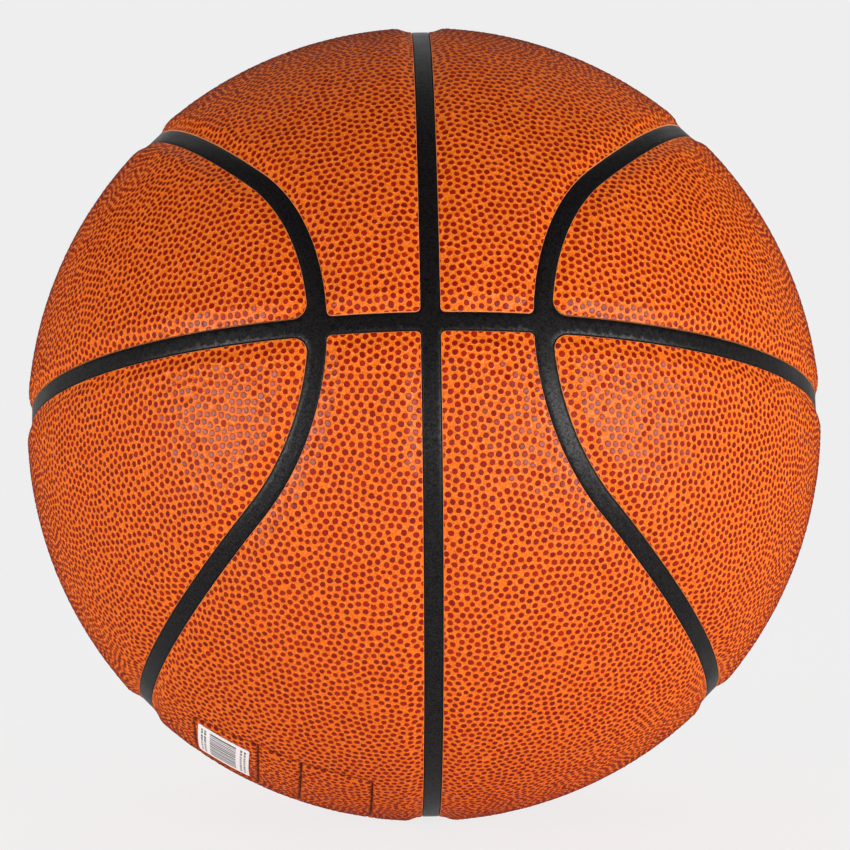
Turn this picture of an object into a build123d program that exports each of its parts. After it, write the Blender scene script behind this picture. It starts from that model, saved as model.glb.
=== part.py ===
from build123d import *
import os
from math import atan2, cos, degrees, radians, sin

# Basketball of eight pebbled panels, laid on a rubber carcass whose raised ribs are the seams.
# Millimetres, +Z up, origin at the centre of the ball, front seam cross on the -Y side.

# Layers, from the outside in
ball_radius = 121.0
cover_thickness = 1.35
foam_thickness = 1.0
carcass_thickness = 0.8
winding_thickness = 0.5
bladder_thickness = 0.6
glue_line = 0.2

# Seam ribs and the cover edges beside them
rib_width = 5.0
rib_depth = 1.25
edge_gap = 0.15
roll_width = 5.5
bond_width = 4.5
center_corner_radius = 1.4
side_corner_radius = 4.5

# Seam layout, as angles in degrees at the centre of the ball
seam_tilt = 16.1
waist_angle = 14.45
oval_rise_angle = 45.1
oval_end_angle = 28.85

# Valve, in the rear of the upper left centre panel
valve_rise_angle = 30.0
valve_side_angle = -13.0
valve_neck_diameter = 9.0
valve_hole_clearance = 0.2
valve_recess = 0.4
valve_flange_diameter = 26.0
valve_flange_thickness = 1.5
valve_barrel_diameter = 10.0
valve_barrel_length = 12.0
plug_head_diameter = 6.4
plug_head_thickness = 1.6
plug_stem_diameter = 5.2
plug_tip_diameter = 4.4
plug_tip_overhang = 1.0
plug_clearance = 0.15
needle_bore_diameter = 2.4
needle_funnel_depth = 0.5
needle_seal_thickness = 3.0

# Paper label on the lower left centre panel
label_width = 17.0
label_height = 25.0
label_corner_radius = 0.8
label_thickness = 0.12
label_glue = 0.1
label_rise_angle = -77.5
label_side_angle = -30.0
label_turn_angle = -3.4

# How far a cutting tool passes the faces that it cuts
tool_margin = 1.5
# How far the rolled edge is carried past the outside, so that it meets it at a clear angle
roll_lift = 0.1

# Radii of the layers
cover_inner = ball_radius - cover_thickness
foam_outer = cover_inner - glue_line
foam_inner = foam_outer - foam_thickness
carcass_outer = foam_inner - glue_line
carcass_inner = carcass_outer - carcass_thickness
winding_outer = carcass_inner - glue_line
winding_inner = winding_outer - winding_thickness
bladder_outer = winding_inner - glue_line
bladder_inner = bladder_outer - bladder_thickness
rib_top = ball_radius - rib_depth

# Half widths of the bands that part one piece from the next across a seam
rib_half = rib_width / 2
cover_half = rib_half + edge_gap
recess_half = cover_half + bond_width
pad_half = recess_half + glue_line

# The frame of the seam pattern: x to the right, y to the back and z up, tilted back about X
seam_frame = Plane(
    origin=(0, 0, 0),
    x_dir=(1, 0, 0),
    z_dir=(0, sin(radians(seam_tilt)), cos(radians(seam_tilt))),
)
level_plane = seam_frame
upright_plane = Plane.YZ
center = Vector(0, 0, 0)


def seam_direction(x, y, z):
    """Turn a direction of the seam pattern into one of the part."""
    return seam_frame.from_local_coords(Vector(x, y, z)).normalized()


def surface_direction(side_angle, rise_angle, depth_sign):
    """Direction at an angle off the upright seam and an angle round it, on the front or the back."""
    across = sin(radians(side_angle))
    along = cos(radians(side_angle))
    return seam_direction(
        across,
        depth_sign * along * cos(radians(rise_angle)),
        along * sin(radians(rise_angle)),
    )


# The right oval is four arcs, tangent where they meet: two round its ends and two along its sides.
# Each arc runs round an axis through the centre of the ball, at a fixed angle from it.
end_axis_angle = 90 - waist_angle - oval_end_angle
rise_difference = radians(oval_rise_angle - oval_end_angle)
side_axis_angle = degrees(
    atan2(cos(rise_difference) - cos(radians(end_axis_angle)), sin(rise_difference))
)
oval_side_angle = oval_rise_angle + side_axis_angle
end_x = cos(radians(end_axis_angle))
end_y = sin(radians(end_axis_angle))
side_x = cos(radians(side_axis_angle))
side_z = sin(radians(side_axis_angle))

# Half of each arc's sweep, from its middle to the plane through both axes, where the arcs meet
front_axis = seam_direction(end_x, -end_y, 0)
top_axis = seam_direction(side_x, 0, -side_z)
front_middle = seam_direction(-end_y, -end_x, 0)
top_middle = seam_direction(side_z, 0, side_x)
axis_cosine = front_axis.dot(top_axis)
end_half_sweep = front_middle.get_angle(front_axis * axis_cosine - top_axis)
side_half_sweep = top_middle.get_angle(front_axis - top_axis * axis_cosine)

# Seams of the upper right quarter: axis, direction from the axis to the arc's middle, angle from
# the axis, half sweep. The upright and level seams run a little past the quarter's corners.
right = seam_direction(1, 0, 0)
up = seam_direction(0, 0, 1)
front = seam_direction(0, -1, 0)
waist_x = sin(radians(waist_angle / 2))
waist_y = cos(radians(waist_angle / 2))
upright_seam = (right, up, 90, 90 + waist_angle)
level_front_seam = (up, seam_direction(waist_x, -waist_y, 0), 90, waist_angle)
level_back_seam = (up, seam_direction(waist_x, waist_y, 0), 90, waist_angle)
level_side_seam = (up, right, 90, 90 - waist_angle / 2)
oval_seams = [
    (top_axis, top_middle, oval_side_angle, side_half_sweep),
    (front_axis, front_middle, oval_end_angle, end_half_sweep),
    (seam_direction(end_x, end_y, 0), seam_direction(-end_y, end_x, 0), oval_end_angle, end_half_sweep),
]
family_seams = {
    "center": oval_seams + [upright_seam, level_front_seam, level_back_seam],
    "side": oval_seams + [level_side_seam],
}


def polar(angle, radius):
    """Point of a seam's section at an angle in degrees from the seam's axis."""
    return (radius * sin(radians(angle)), radius * cos(radians(angle)))


def width_angle(width):
    """Angle in degrees that a width spans at the rib tops."""
    return degrees(width / rib_top)


def band_section(seam_angle, low, high, half_width):
    """Section of a band along a seam, from a low to a high radius, with walls square to the ball."""
    half_angle = width_angle(half_width)
    middle = (low + high) / 2
    for side in (-1, 1):
        wall_angle = seam_angle + side * half_angle
        Bezier(polar(wall_angle, low), polar(wall_angle, middle), polar(wall_angle, high))
    for radius in (low, high):
        bow_across(seam_angle, half_angle, radius)


def roll_section(seam_angle):
    """Section of the groove along a seam: flat at the rib, then an S-shaped rise to the outside."""
    foot_angle = width_angle(rib_half)
    brow_angle = width_angle(cover_half + roll_width)
    bend_angle = (foot_angle + brow_angle) / 2
    brow_radius = ball_radius + roll_lift
    rim_radius = ball_radius + tool_margin
    for side in (-1, 1):
        Bezier(
            polar(seam_angle + side * foot_angle, rib_top),
            polar(seam_angle + side * bend_angle, rib_top),
            polar(seam_angle + side * bend_angle, brow_radius),
            polar(seam_angle + side * brow_angle, brow_radius),
        )
        Line(
            polar(seam_angle + side * brow_angle, brow_radius),
            polar(seam_angle + side * brow_angle, rim_radius),
        )
    bow_across(seam_angle, foot_angle, rib_top)
    bow_across(seam_angle, brow_angle, rim_radius)


def bow_across(seam_angle, half_angle, radius):
    """Shallow curve across a seam, close to the ball's own curve."""
    bow_radius = radius / cos(radians(half_angle))
    Bezier(
        polar(seam_angle - half_angle, radius),
        polar(seam_angle, bow_radius),
        polar(seam_angle + half_angle, radius),
    )


def cut_seams(seams, section, *sizes):
    """Cut a section along each of the seams out of the layer that is being built."""
    for axis, middle, seam_angle, half_sweep in seams:
        turn = Axis(center, axis)
        start = middle.rotate(turn, -half_sweep)
        with BuildSketch(Plane(center, x_dir=start, z_dir=start.cross(axis))) as band:
            with BuildLine():
                section(seam_angle, *sizes)
            make_face()
        revolve(band.sketch, axis=turn, revolution_arc=2 * half_sweep, mode=Mode.SUBTRACT)


def swept_shell(inner, outer, start_plane, sweep):
    """A shell swept round the axis from back to front, from its half section in a plane."""
    with BuildPart() as shell:
        with BuildSketch(start_plane) as ring:
            with BuildLine():
                outside = CenterArc((0, 0), outer, -90, 180)
                inside = CenterArc((0, 0), inner, -90, 180)
                Line(outside @ 0, inside @ 0)
                Line(outside @ 1, inside @ 1)
            make_face()
        revolve(ring.sketch, axis=Axis(center, front), revolution_arc=sweep)
    return shell.part


def upper_right_cells(inner, outer, half_width):
    """The centre and side cells that the seams leave of a quarter shell."""
    with BuildPart() as cells:
        add(swept_shell(inner, outer, level_plane, 90))
        split(bisect_by=level_plane.offset(half_width), keep=Keep.TOP)
        split(bisect_by=upright_plane.offset(half_width), keep=Keep.TOP)
        cut_seams(oval_seams, band_section, inner - tool_margin, outer + tool_margin, half_width)
    return cells.solids().sort_by(Axis.X)


def rounded_cell(cell, radius):
    """A cell with its corners rounded, which are the short edges of its walls at the level seam."""
    with BuildPart() as rounded:
        add(cell)
        level_walls = rounded.faces().filter_by(level_plane)
        corners = [edge for wall in level_walls for edge in wall.edges().sort_by(SortBy.LENGTH)[:2]]
        fillet(corners, radius)
    return rounded.part


def mirrored(shape, planes):
    """A shape of the upper right quarter, taken to another quarter."""
    for plane in planes:
        shape = mirror(shape, about=plane, mode=Mode.PRIVATE)
    return shape


quarters = {
    "upper_right": [],
    "upper_left": [upright_plane],
    "lower_right": [level_plane],
    "lower_left": [upright_plane, level_plane],
}
corner_radii = {"center": center_corner_radius, "side": side_corner_radius}

# Valve axis, with the section plane through it and the plane square to it
valve_direction = surface_direction(valve_side_angle, valve_rise_angle, 1)
valve_side = valve_direction.cross(Vector(0, 0, 1)).normalized()
valve_plane = Plane(center, x_dir=valve_side, z_dir=valve_direction)
valve_section = Plane(center, x_dir=valve_side, z_dir=valve_side.cross(valve_direction))
valve_hole_radius = valve_neck_diameter / 2 + valve_hole_clearance

# Heights along the valve axis
valve_top = ball_radius - valve_recess
head_bottom = valve_top - plug_head_thickness
head_seat = head_bottom - plug_clearance
flange_outer = bladder_inner - glue_line
flange_inner = flange_outer - valve_flange_thickness
barrel_end = flange_inner - valve_barrel_length
plug_tip = barrel_end - plug_tip_overhang


def cut_valve_hole():
    """Cut the valve's way through the layer that is being built."""
    with BuildSketch(valve_plane) as hole:
        Circle(valve_hole_radius)
    extrude(hole.sketch, amount=ball_radius + tool_margin, mode=Mode.SUBTRACT)


os.makedirs("parts", exist_ok=True)

# Bladder
with BuildPart() as bladder:
    Sphere(bladder_outer)
    Sphere(bladder_inner, mode=Mode.SUBTRACT)
    cut_valve_hole()
bladder.part.label = "bladder"
export_step(bladder.part, "parts/bladder.step")

# Thread winding, as the shell that its turns fill
with BuildPart() as thread_winding:
    Sphere(winding_outer)
    Sphere(winding_inner, mode=Mode.SUBTRACT)
    cut_valve_hole()
thread_winding.part.label = "thread_winding"
export_step(thread_winding.part, "parts/thread_winding.step")

# Carcass: a shell up to the rib tops, with a pocket for each cover panel
carcass_pockets = upper_right_cells(carcass_outer, ball_radius, rib_half)
with BuildPart() as carcass:
    add(swept_shell(carcass_inner, rib_top, Plane(center, x_dir=up, z_dir=-right), 360))
    for pocket, corner_radius in zip(carcass_pockets, corner_radii.values()):
        rounded_pocket = rounded_cell(pocket, corner_radius)
        for planes in quarters.values():
            add(mirrored(rounded_pocket, planes), mode=Mode.SUBTRACT)
    cut_valve_hole()
carcass.part.label = "carcass"
export_step(carcass.part, "parts/carcass.step")

# Cells of the cover, of the recess under it and of the foam pad in that recess
cover_cells = upper_right_cells(foam_inner, ball_radius, cover_half)
recess_cells = upper_right_cells(carcass_outer, cover_inner, recess_half)
pad_cells = upper_right_cells(foam_inner, foam_outer, pad_half)

# Cover panels and foam pads, one of each to a cell, in the four quarters
for family, cover_cell, recess, pad_cell in zip(corner_radii, cover_cells, recess_cells, pad_cells):
    with BuildPart() as panel_blank:
        add(rounded_cell(cover_cell, corner_radii[family] - edge_gap))
        cut_seams(family_seams[family], roll_section)
        add(recess, mode=Mode.SUBTRACT)
    for quarter, planes in quarters.items():
        panel_name = f"{family}_panel_{quarter}"
        with BuildPart() as panel:
            add(mirrored(panel_blank.part, planes))
            cut_valve_hole()
        panel.part.label = panel_name
        export_step(panel.part, f"parts/{panel_name}.step")

        pad_name = f"{family}_pad_{quarter}"
        with BuildPart() as pad:
            add(mirrored(pad_cell, planes))
            cut_valve_hole()
        pad.part.label = pad_name
        export_step(pad.part, f"parts/{pad_name}.step")

# Valve housing: a flange against the bladder, a neck out through the layers and a barrel inside
with BuildPart() as valve_housing:
    with BuildSketch(valve_plane):
        Circle(valve_flange_diameter / 2)
    extrude(amount=ball_radius)
    Sphere(flange_outer, mode=Mode.INTERSECT)
    Sphere(flange_inner, mode=Mode.SUBTRACT)
    with BuildSketch(valve_plane.offset(barrel_end)):
        Circle(valve_barrel_diameter / 2)
    extrude(amount=flange_inner + valve_flange_thickness / 2 - barrel_end)
    with BuildSketch(valve_plane.offset(flange_inner)):
        Circle(valve_neck_diameter / 2)
    extrude(amount=valve_top - flange_inner)
    with BuildSketch(valve_plane.offset(barrel_end)):
        Circle(plug_stem_diameter / 2 + plug_clearance)
    extrude(amount=valve_top - barrel_end, mode=Mode.SUBTRACT)
    with BuildSketch(valve_plane.offset(head_seat)):
        Circle(plug_head_diameter / 2 + plug_clearance)
    extrude(amount=valve_top - head_seat, mode=Mode.SUBTRACT)
valve_housing.part.label = "valve_housing"
export_step(valve_housing.part, "parts/valve_housing.step")

# Valve plug: a head in the mouth of the housing, a tapered stem and a blind needle hole
needle_radius = needle_bore_diameter / 2
with BuildPart() as valve_plug:
    with BuildSketch(valve_section) as plug_section:
        with BuildLine():
            Polyline(
                (0, plug_tip),
                (plug_tip_diameter / 2, plug_tip),
                (plug_stem_diameter / 2, head_bottom),
                (plug_head_diameter / 2, head_bottom),
                (plug_head_diameter / 2, valve_top),
                (needle_radius + needle_funnel_depth, valve_top),
                (needle_radius, valve_top - needle_funnel_depth),
                (needle_radius, plug_tip + needle_seal_thickness),
                (0, plug_tip + needle_seal_thickness),
                close=True,
            )
        make_face()
    revolve(plug_section.sketch, axis=Axis(center, valve_direction))
valve_plug.part.label = "valve_plug"
export_step(valve_plug.part, "parts/valve_plug.step")

# Paper label, bent to the ball
label_inner = ball_radius + label_glue
label_outer = label_inner + label_thickness
label_direction = surface_direction(label_side_angle, label_rise_angle, -1)
label_plane = Plane(center, x_dir=seam_direction(1, 0, 0), z_dir=label_direction)
with BuildPart() as paper_label:
    with BuildSketch(label_plane):
        RectangleRounded(label_width, label_height, label_corner_radius, rotation=label_turn_angle)
    extrude(amount=ball_radius + label_height)
    Sphere(label_outer, mode=Mode.INTERSECT)
    Sphere(label_inner, mode=Mode.SUBTRACT)
paper_label.part.label = "paper_label"
export_step(paper_label.part, "parts/paper_label.step")
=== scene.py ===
from math import atan2, cos, degrees, pi, radians, sin

import bpy
import numpy as np
from mathutils import Matrix, Vector, kdtree
from mathutils.geometry import delaunay_2d_cdt


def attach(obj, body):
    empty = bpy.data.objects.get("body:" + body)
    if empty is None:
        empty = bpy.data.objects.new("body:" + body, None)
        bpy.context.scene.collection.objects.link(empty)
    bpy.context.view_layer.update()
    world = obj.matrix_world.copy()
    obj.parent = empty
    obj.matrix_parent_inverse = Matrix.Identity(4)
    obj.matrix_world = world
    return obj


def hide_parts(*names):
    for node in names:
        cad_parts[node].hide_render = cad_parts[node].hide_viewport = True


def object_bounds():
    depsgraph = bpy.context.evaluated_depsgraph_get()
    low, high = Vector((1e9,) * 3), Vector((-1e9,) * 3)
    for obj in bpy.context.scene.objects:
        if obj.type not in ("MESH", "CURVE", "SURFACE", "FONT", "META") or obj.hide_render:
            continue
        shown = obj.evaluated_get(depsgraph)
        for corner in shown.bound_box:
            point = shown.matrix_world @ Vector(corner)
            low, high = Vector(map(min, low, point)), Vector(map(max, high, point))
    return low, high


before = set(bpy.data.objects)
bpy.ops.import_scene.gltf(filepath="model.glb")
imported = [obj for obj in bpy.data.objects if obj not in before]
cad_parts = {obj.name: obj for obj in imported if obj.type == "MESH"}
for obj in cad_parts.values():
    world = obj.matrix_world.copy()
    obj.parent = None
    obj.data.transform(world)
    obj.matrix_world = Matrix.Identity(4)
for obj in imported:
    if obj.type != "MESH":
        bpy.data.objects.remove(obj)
cad_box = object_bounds()
MM = 0.001

# Sizes of the ball, in millimetres, as in the solids
BALL_RADIUS = 121.0
RIB_TOP = 119.75
RIB_HALF = 2.5
COVER_HALF = 2.65
ROLL_WIDTH = 5.5
BOND_WIDTH = 4.5
COVER_INNER = 119.65
FLANGE_INNER = 118.45
CORNER_RADIUS = {"center": 1.25, "side": 4.35}
VALVE_HOLE_RADIUS = 4.7
CARCASS_OUTER = 118.25
CARCASS_INNER = 117.45
# Shoulder of a rib: distance from the middle of the seam, and fall below the rib's top
RIB_SHOULDER = ((2.18, 0.0), (2.4, 0.13), (2.5, 0.6))
# Drop of a panel's outer edge below its rolled surface, and rounding of the hollow under the panel
RIM_DROP = 0.1
HOLLOW_CORNER = 0.4

# Steps between the points of the meshes, points round the valve's hole, and slack of the borders
COVER_STEP = 0.55
HOLLOW_STEP = 2.0
RIB_STEP = 0.5
RIB_FILL_STEP = 1.25
RIB_MIDDLE_STEP = 1.3
COARSE_STEP = 9.0
HOLE_SIDES = 60
EDGE_SLACK = 1e-4
HOLE_SLACK = 1e-3

# Seam layout, in degrees
SEAM_TILT = 16.1
WAIST = 14.45
OVAL_RISE = 45.1
OVAL_END = 28.85
VALVE_SIDE, VALVE_RISE = -13.0, 30.0
LABEL_SIDE, LABEL_RISE, LABEL_TURN = -30.0, -77.5, -3.4

# Pebbles of the cover. The top, the foot and the far reach are shares of a pebble's radius, the shake and
# the room are shares of the spacing, the push is the share of an overlap that one step takes away, the
# lean is the spread of the slopes, and the press is the share of the height that is left at the edge
PEBBLE_SPACING = 2.32
PEBBLE_SHAKE = 0.32
PEBBLE_ROOM = 1.06
PEBBLE_PUSH = 0.28
PEBBLE_HEIGHT = 0.22
PEBBLE_SIDES = 9
PEBBLE_RADII = (0.79, 0.95)
PEBBLE_TOP = 0.80
PEBBLE_FOOT = 1.12
PEBBLE_LEAN = 0.055
PEBBLE_WOBBLE = (0.045, 0.03)
PEBBLE_LEAST = 0.5
PEBBLE_HALF_GAP = 0.2
FAR_REACH = 1.4
RING_ROOM = 0.14
EDGE_PRESS = 0.45
VALLEY_DEPTH = 0.13
CUT_EDGE = 0.17

# Plain boxes pressed into the lower left centre panel. Each upright groove has a top and an end,
# in millimetres off the upright seam and degrees round it. Floor, half and shoulder are half widths, the
# room is kept free of pebbles, and of the points in one cell only the first is kept
GROOVE_TOPS = ((-72.8, -69.4), (-51.2, -68.2), (-38.0, -69.4), (-17.2, -70.8))
GROOVE_ENDS = ((-74.4, -94.0), (-53.8, -94.0), (-40.6, -94.0), (-18.5, -94.0))
GROOVE_CORNER = 2.6
GROOVE_FLOOR = 0.1
GROOVE_HALF = 0.55
GROOVE_ROOM = 0.16
GROOVE_CELL = 0.22
GROOVE_SHOULDER = 2.0
GROOVE_DEPTH = 0.65

# Paper label: size, rounding of its corners, and radii of its two faces
LABEL_WIDTH, LABEL_HEIGHT, LABEL_CORNER = 17.0, 25.0, 0.8
LABEL_INNER, LABEL_OUTER = 121.1, 121.22

# The seam frame: x right, y back, z up, leaning back about X
tilt = radians(SEAM_TILT)
SEAM_TO_WORLD = np.array([
    [1, 0, 0],
    [0, cos(tilt), sin(tilt)],
    [0, -sin(tilt), cos(tilt)],
])

# Arcs of the oval: two axes, and the angle of the seam from each
end_axis_angle = radians(90 - WAIST - OVAL_END)
rise_difference = radians(OVAL_RISE - OVAL_END)
side_axis_angle = atan2(cos(rise_difference) - cos(end_axis_angle), sin(rise_difference))
END_ANGLE = radians(OVAL_END)
SIDE_ANGLE = radians(OVAL_RISE) + side_axis_angle
END_AXIS = np.array([cos(end_axis_angle), sin(end_axis_angle), 0])
SIDE_AXIS = np.array([cos(side_axis_angle), 0, -sin(side_axis_angle)])
END_MIDDLE = np.array([-sin(end_axis_angle), cos(end_axis_angle), 0])
SIDE_MIDDLE = np.array([sin(side_axis_angle), 0, cos(side_axis_angle)])
ARC_PLANE = np.cross(END_AXIS, SIDE_AXIS)
RIGHT, BACK, UP = np.eye(3)


def unit(vectors):
    return vectors / np.linalg.norm(vectors, axis=-1, keepdims=True)


def seam_direction(side, rise, depth_sign):
    """Direction at an angle off the upright seam and an angle round it."""
    along = cos(radians(side))
    return np.array([
        sin(radians(side)),
        depth_sign * along * cos(radians(rise)),
        along * sin(radians(rise)),
    ])


def seam_distances(points):
    """Distances in millimetres from the upright, level and oval seams (positive outside the oval)."""
    folded = np.abs(points)
    upright = RIB_TOP * np.arcsin(np.clip(folded[:, 0], 0, 1))
    level = RIB_TOP * np.arcsin(np.clip(folded[:, 2], 0, 1))
    to_end = np.arccos(np.clip(folded @ END_AXIS, -1, 1)) - END_ANGLE
    to_side = np.arccos(np.clip(folded @ SIDE_AXIS, -1, 1)) - SIDE_ANGLE
    at_end = (folded @ ARC_PLANE) * (END_MIDDLE @ ARC_PLANE) >= 0
    return upright, level, RIB_TOP * np.where(at_end, to_end, to_side)


def panel_distances(points, family):
    """Distances from the seams that bound a panel of the upper right quarter, the level seam first."""
    upright, level, oval = seam_distances(points)
    return [level, upright, oval] if family == "center" else [level, -oval]


def edge_distance(points, family):
    """Distance from the nearest seam, with the panel's corners rounded."""
    level, *others = panel_distances(points, family)
    nearest = np.min([level, *others], axis=0)
    reach = COVER_HALF + CORNER_RADIUS[family]
    for other in others:
        corner = (level < reach) & (other < reach)
        rounded = reach - np.hypot(reach - level, reach - other)
        nearest = np.where(corner, np.minimum(nearest, rounded), nearest)
    return nearest


curve_step = np.linspace(0, 1, 200)
ROLL_ACROSS = 1.5 * curve_step - 1.5 * curve_step**2 + curve_step**3
ROLL_RISE = 3 * curve_step**2 - 2 * curve_step**3


def roll(points, family):
    """Rise of the rolled cover, from 0 at the rib to 1 on the full radius."""
    rise = np.ones(len(points))
    for distance in panel_distances(points, family):
        across = (distance - RIB_HALF) / (COVER_HALF + ROLL_WIDTH - RIB_HALF)
        rise *= np.interp(across, ROLL_ACROSS, ROLL_RISE)
    return rise


def corner_level_upright(level, upright):
    x, z = np.sin(upright / RIB_TOP), np.sin(level / RIB_TOP)
    return np.stack([x, np.sqrt(1 - x**2 - z**2), z], axis=-1)


def corner_level_oval(level, oval):
    z = np.sin(level / RIB_TOP)
    along = np.cos(END_ANGLE + oval / RIB_TOP)
    across = np.sqrt(1 - z**2 - along**2)
    return along[:, None] * END_AXIS + across[:, None] * END_MIDDLE + z[:, None] * UP


def turned(axis, middle, side, angle, turns):
    """Points of a small circle about an axis."""
    return (
        cos(angle) * axis
        + sin(angle) * (np.cos(turns)[:, None] * middle + np.sin(turns)[:, None] * side)
    )


def half_outline(family, offset, corner_radius):
    """Back half of a panel's outline in the upper right quarter, from its level edge to y = 0."""
    sign = 1 if family == "center" else -1
    reach = offset + corner_radius
    quarter = np.linspace(0, pi / 2, 24)
    runs = []
    straight_angle = pi / 2 - offset / RIB_TOP
    if family == "center":
        start = corner_level_upright(np.array([reach]), np.array([offset]))[0]
        from_top = np.linspace(0, atan2(start[1], start[2]), 400)
        runs.append(turned(RIGHT, UP, BACK, straight_angle, from_top))
        runs.append(corner_level_upright(
            reach - corner_radius * np.sin(quarter), reach - corner_radius * np.cos(quarter)))
    else:
        corner = corner_level_oval(np.array([offset]), np.array([-reach]))[0]
        azimuth = np.linspace(0, atan2(corner[1], corner[0]), 300)
        runs.append(turned(UP, RIGHT, BACK, straight_angle, azimuth))
    runs.append(corner_level_oval(
        reach - corner_radius * np.cos(quarter), sign * (reach - corner_radius * np.sin(quarter))))
    end_angle = END_ANGLE + sign * offset / RIB_TOP
    start = runs[-1][-1]
    first_turn = atan2(start @ UP, start @ END_MIDDLE)
    joint = unit(END_AXIS * (END_AXIS @ SIDE_AXIS) - SIDE_AXIS)
    last_turn = atan2(joint @ UP, joint @ END_MIDDLE)
    runs.append(turned(END_AXIS, END_MIDDLE, UP, end_angle, np.linspace(first_turn, last_turn, 200)))
    side_angle = SIDE_ANGLE + sign * offset / RIB_TOP
    start = runs[-1][-1]
    first_turn = atan2(start @ BACK, start @ SIDE_MIDDLE)
    runs.append(turned(SIDE_AXIS, SIDE_MIDDLE, BACK, side_angle, np.linspace(first_turn, 0, 200)))
    return np.concatenate(runs)


def outline(family, offset, corner_radius, step):
    """Closed outline of a panel of the upper right quarter, as directions about a step apart."""
    half = half_outline(family, offset, corner_radius)
    front = half[::-1] * [1, -1, 1]
    loop = np.concatenate([half, front, half[:1]])
    lengths = np.linalg.norm(np.diff(loop, axis=0), axis=1) * BALL_RADIUS
    travel = np.concatenate([[0], np.cumsum(lengths)])
    count = int(round(travel[-1] / step))
    marks = np.arange(count) * travel[-1] / count
    return unit(np.stack([np.interp(marks, travel, loop[:, k]) for k in range(3)], axis=-1))


def point_tree(points):
    """A search tree of points."""
    tree = kdtree.KDTree(len(points))
    for index, point in enumerate(points.tolist()):
        tree.insert(point, index)
    tree.balance()
    return tree


def neighbours(points, count):
    """Indices of the nearest other points, for each point."""
    tree = point_tree(points)
    found = [[hit[1] for hit in tree.find_n(point, count + 1)] for point in points.tolist()]
    return np.array(found)[:, 1:]


def even_directions(room):
    """Even directions over the whole ball, on a spiral, each with its room in square millimetres."""
    count = int(4 * pi * BALL_RADIUS**2 / room)
    place = np.arange(count) + 0.5
    height = 1 - 2 * place / count
    turn = place * pi * (3 - 5**0.5)
    ring = np.sqrt(1 - height**2)
    return np.stack([ring * np.cos(turn), ring * np.sin(turn), height], axis=-1)


def scatter_pebbles(family, rng):
    """Pebble centres of a panel: a turned spiral lattice, shaken and then evened out."""
    lattice = even_directions(PEBBLE_SPACING**2 * 3**0.5 / 2)
    spin = np.linalg.qr(rng.normal(size=(3, 3)))[0]
    shake = rng.normal(scale=PEBBLE_SHAKE * PEBBLE_SPACING / BALL_RADIUS, size=lattice.shape)
    lattice = unit(lattice @ spin.T + shake)
    keep = (lattice[:, 0] > -0.06) & (lattice[:, 2] > -0.06)
    points = lattice[keep]
    points = points[edge_distance_signed(points, family) > -4.0]
    target = PEBBLE_SPACING / BALL_RADIUS
    for _ in range(3):
        near = neighbours(points, 8)
        for _ in range(5):
            apart = points[:, None, :] - points[near]
            gap = np.linalg.norm(apart, axis=2, keepdims=True)
            push = np.clip(PEBBLE_ROOM * target - gap, 0, None) * apart / gap
            points = unit(points + PEBBLE_PUSH * push.sum(axis=1))
    return points


def edge_distance_signed(points, family):
    """Edge distance that also falls off beyond the upright and level planes."""
    beyond = np.minimum(points[:, 0] if family == "center" else 1.0, points[:, 2])
    nearest = edge_distance(points, family)
    return np.where(beyond < 0, np.minimum(nearest, RIB_TOP * beyond), nearest)


def tangents(points):
    """Two tangent directions at each point of the sphere."""
    first = unit(np.cross(points, [0.3, 0.8, 0.52]))
    return first, np.cross(points, first)


class Pebbles:
    """The pebbles of one panel: where they are, how large, and how high a point on them is."""

    def __init__(self, family, rng):
        self.centres = scatter_pebbles(family, rng)
        count = len(self.centres)
        near = neighbours(self.centres, 1)[:, 0]
        room = BALL_RADIUS * np.linalg.norm(self.centres - self.centres[near], axis=1)
        size = rng.uniform(*PEBBLE_RADII, count)
        self.size = np.clip(np.minimum(size, room / 2 - PEBBLE_HALF_GAP), PEBBLE_LEAST, None)
        self.phase = rng.uniform(0, 2 * pi, (count, 3))
        self.tilt = rng.normal(scale=PEBBLE_LEAN, size=(count, 2))
        self.shade = rng.uniform(0, 1, count)
        self.first, self.second = tangents(self.centres)
        self.tree = point_tree(self.centres)

    def radius(self, index, angle):
        """Radius of a pebble's rim towards an angle."""
        phase = self.phase[index]
        oval, three = PEBBLE_WOBBLE
        wobble = 1 + oval * np.cos(2 * angle + phase[:, 0]) + three * np.cos(3 * angle + phase[:, 1])
        return self.size[index] * wobble

    def ring_points(self, fraction):
        """Points round every pebble at a fraction of its rim, with their pebbles."""
        index = np.repeat(np.arange(len(self.centres)), PEBBLE_SIDES)
        side = np.tile(np.arange(PEBBLE_SIDES), len(self.centres))
        angle = 2 * pi * side / PEBBLE_SIDES + self.phase[index, 2]
        radius = fraction * self.radius(index, angle) / BALL_RADIUS
        offset = (radius * np.cos(angle))[:, None] * self.first[index]
        offset += (radius * np.sin(angle))[:, None] * self.second[index]
        return unit(self.centres[index] + offset), index

    def height(self, points):
        """Height above the valley, share of the way to the rim and shade of the pebble, at each point."""
        index = np.array([self.tree.find(point)[1] for point in points.tolist()])
        offset = points - self.centres[index]
        across = BALL_RADIUS * (offset * self.first[index]).sum(axis=1)
        along = BALL_RADIUS * (offset * self.second[index]).sum(axis=1)
        reach = np.hypot(across, along) / self.radius(index, np.arctan2(along, across))
        level = np.interp(reach, [PEBBLE_TOP, PEBBLE_FOOT], [1, 0])
        lean = (across * self.tilt[index, 0] + along * self.tilt[index, 1]) * np.clip(level, 0, 1)
        return level * PEBBLE_HEIGHT + lean, np.minimum(reach, FAR_REACH), self.shade[index]


def flatten(points, middle):
    """Stereographic map of directions to a plane that touches the sphere at its middle."""
    first, second = tangents(middle[None, :])
    depth = 1 + points @ middle
    return np.stack([2 * points @ first[0] / depth, 2 * points @ second[0] / depth], axis=-1)


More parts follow.
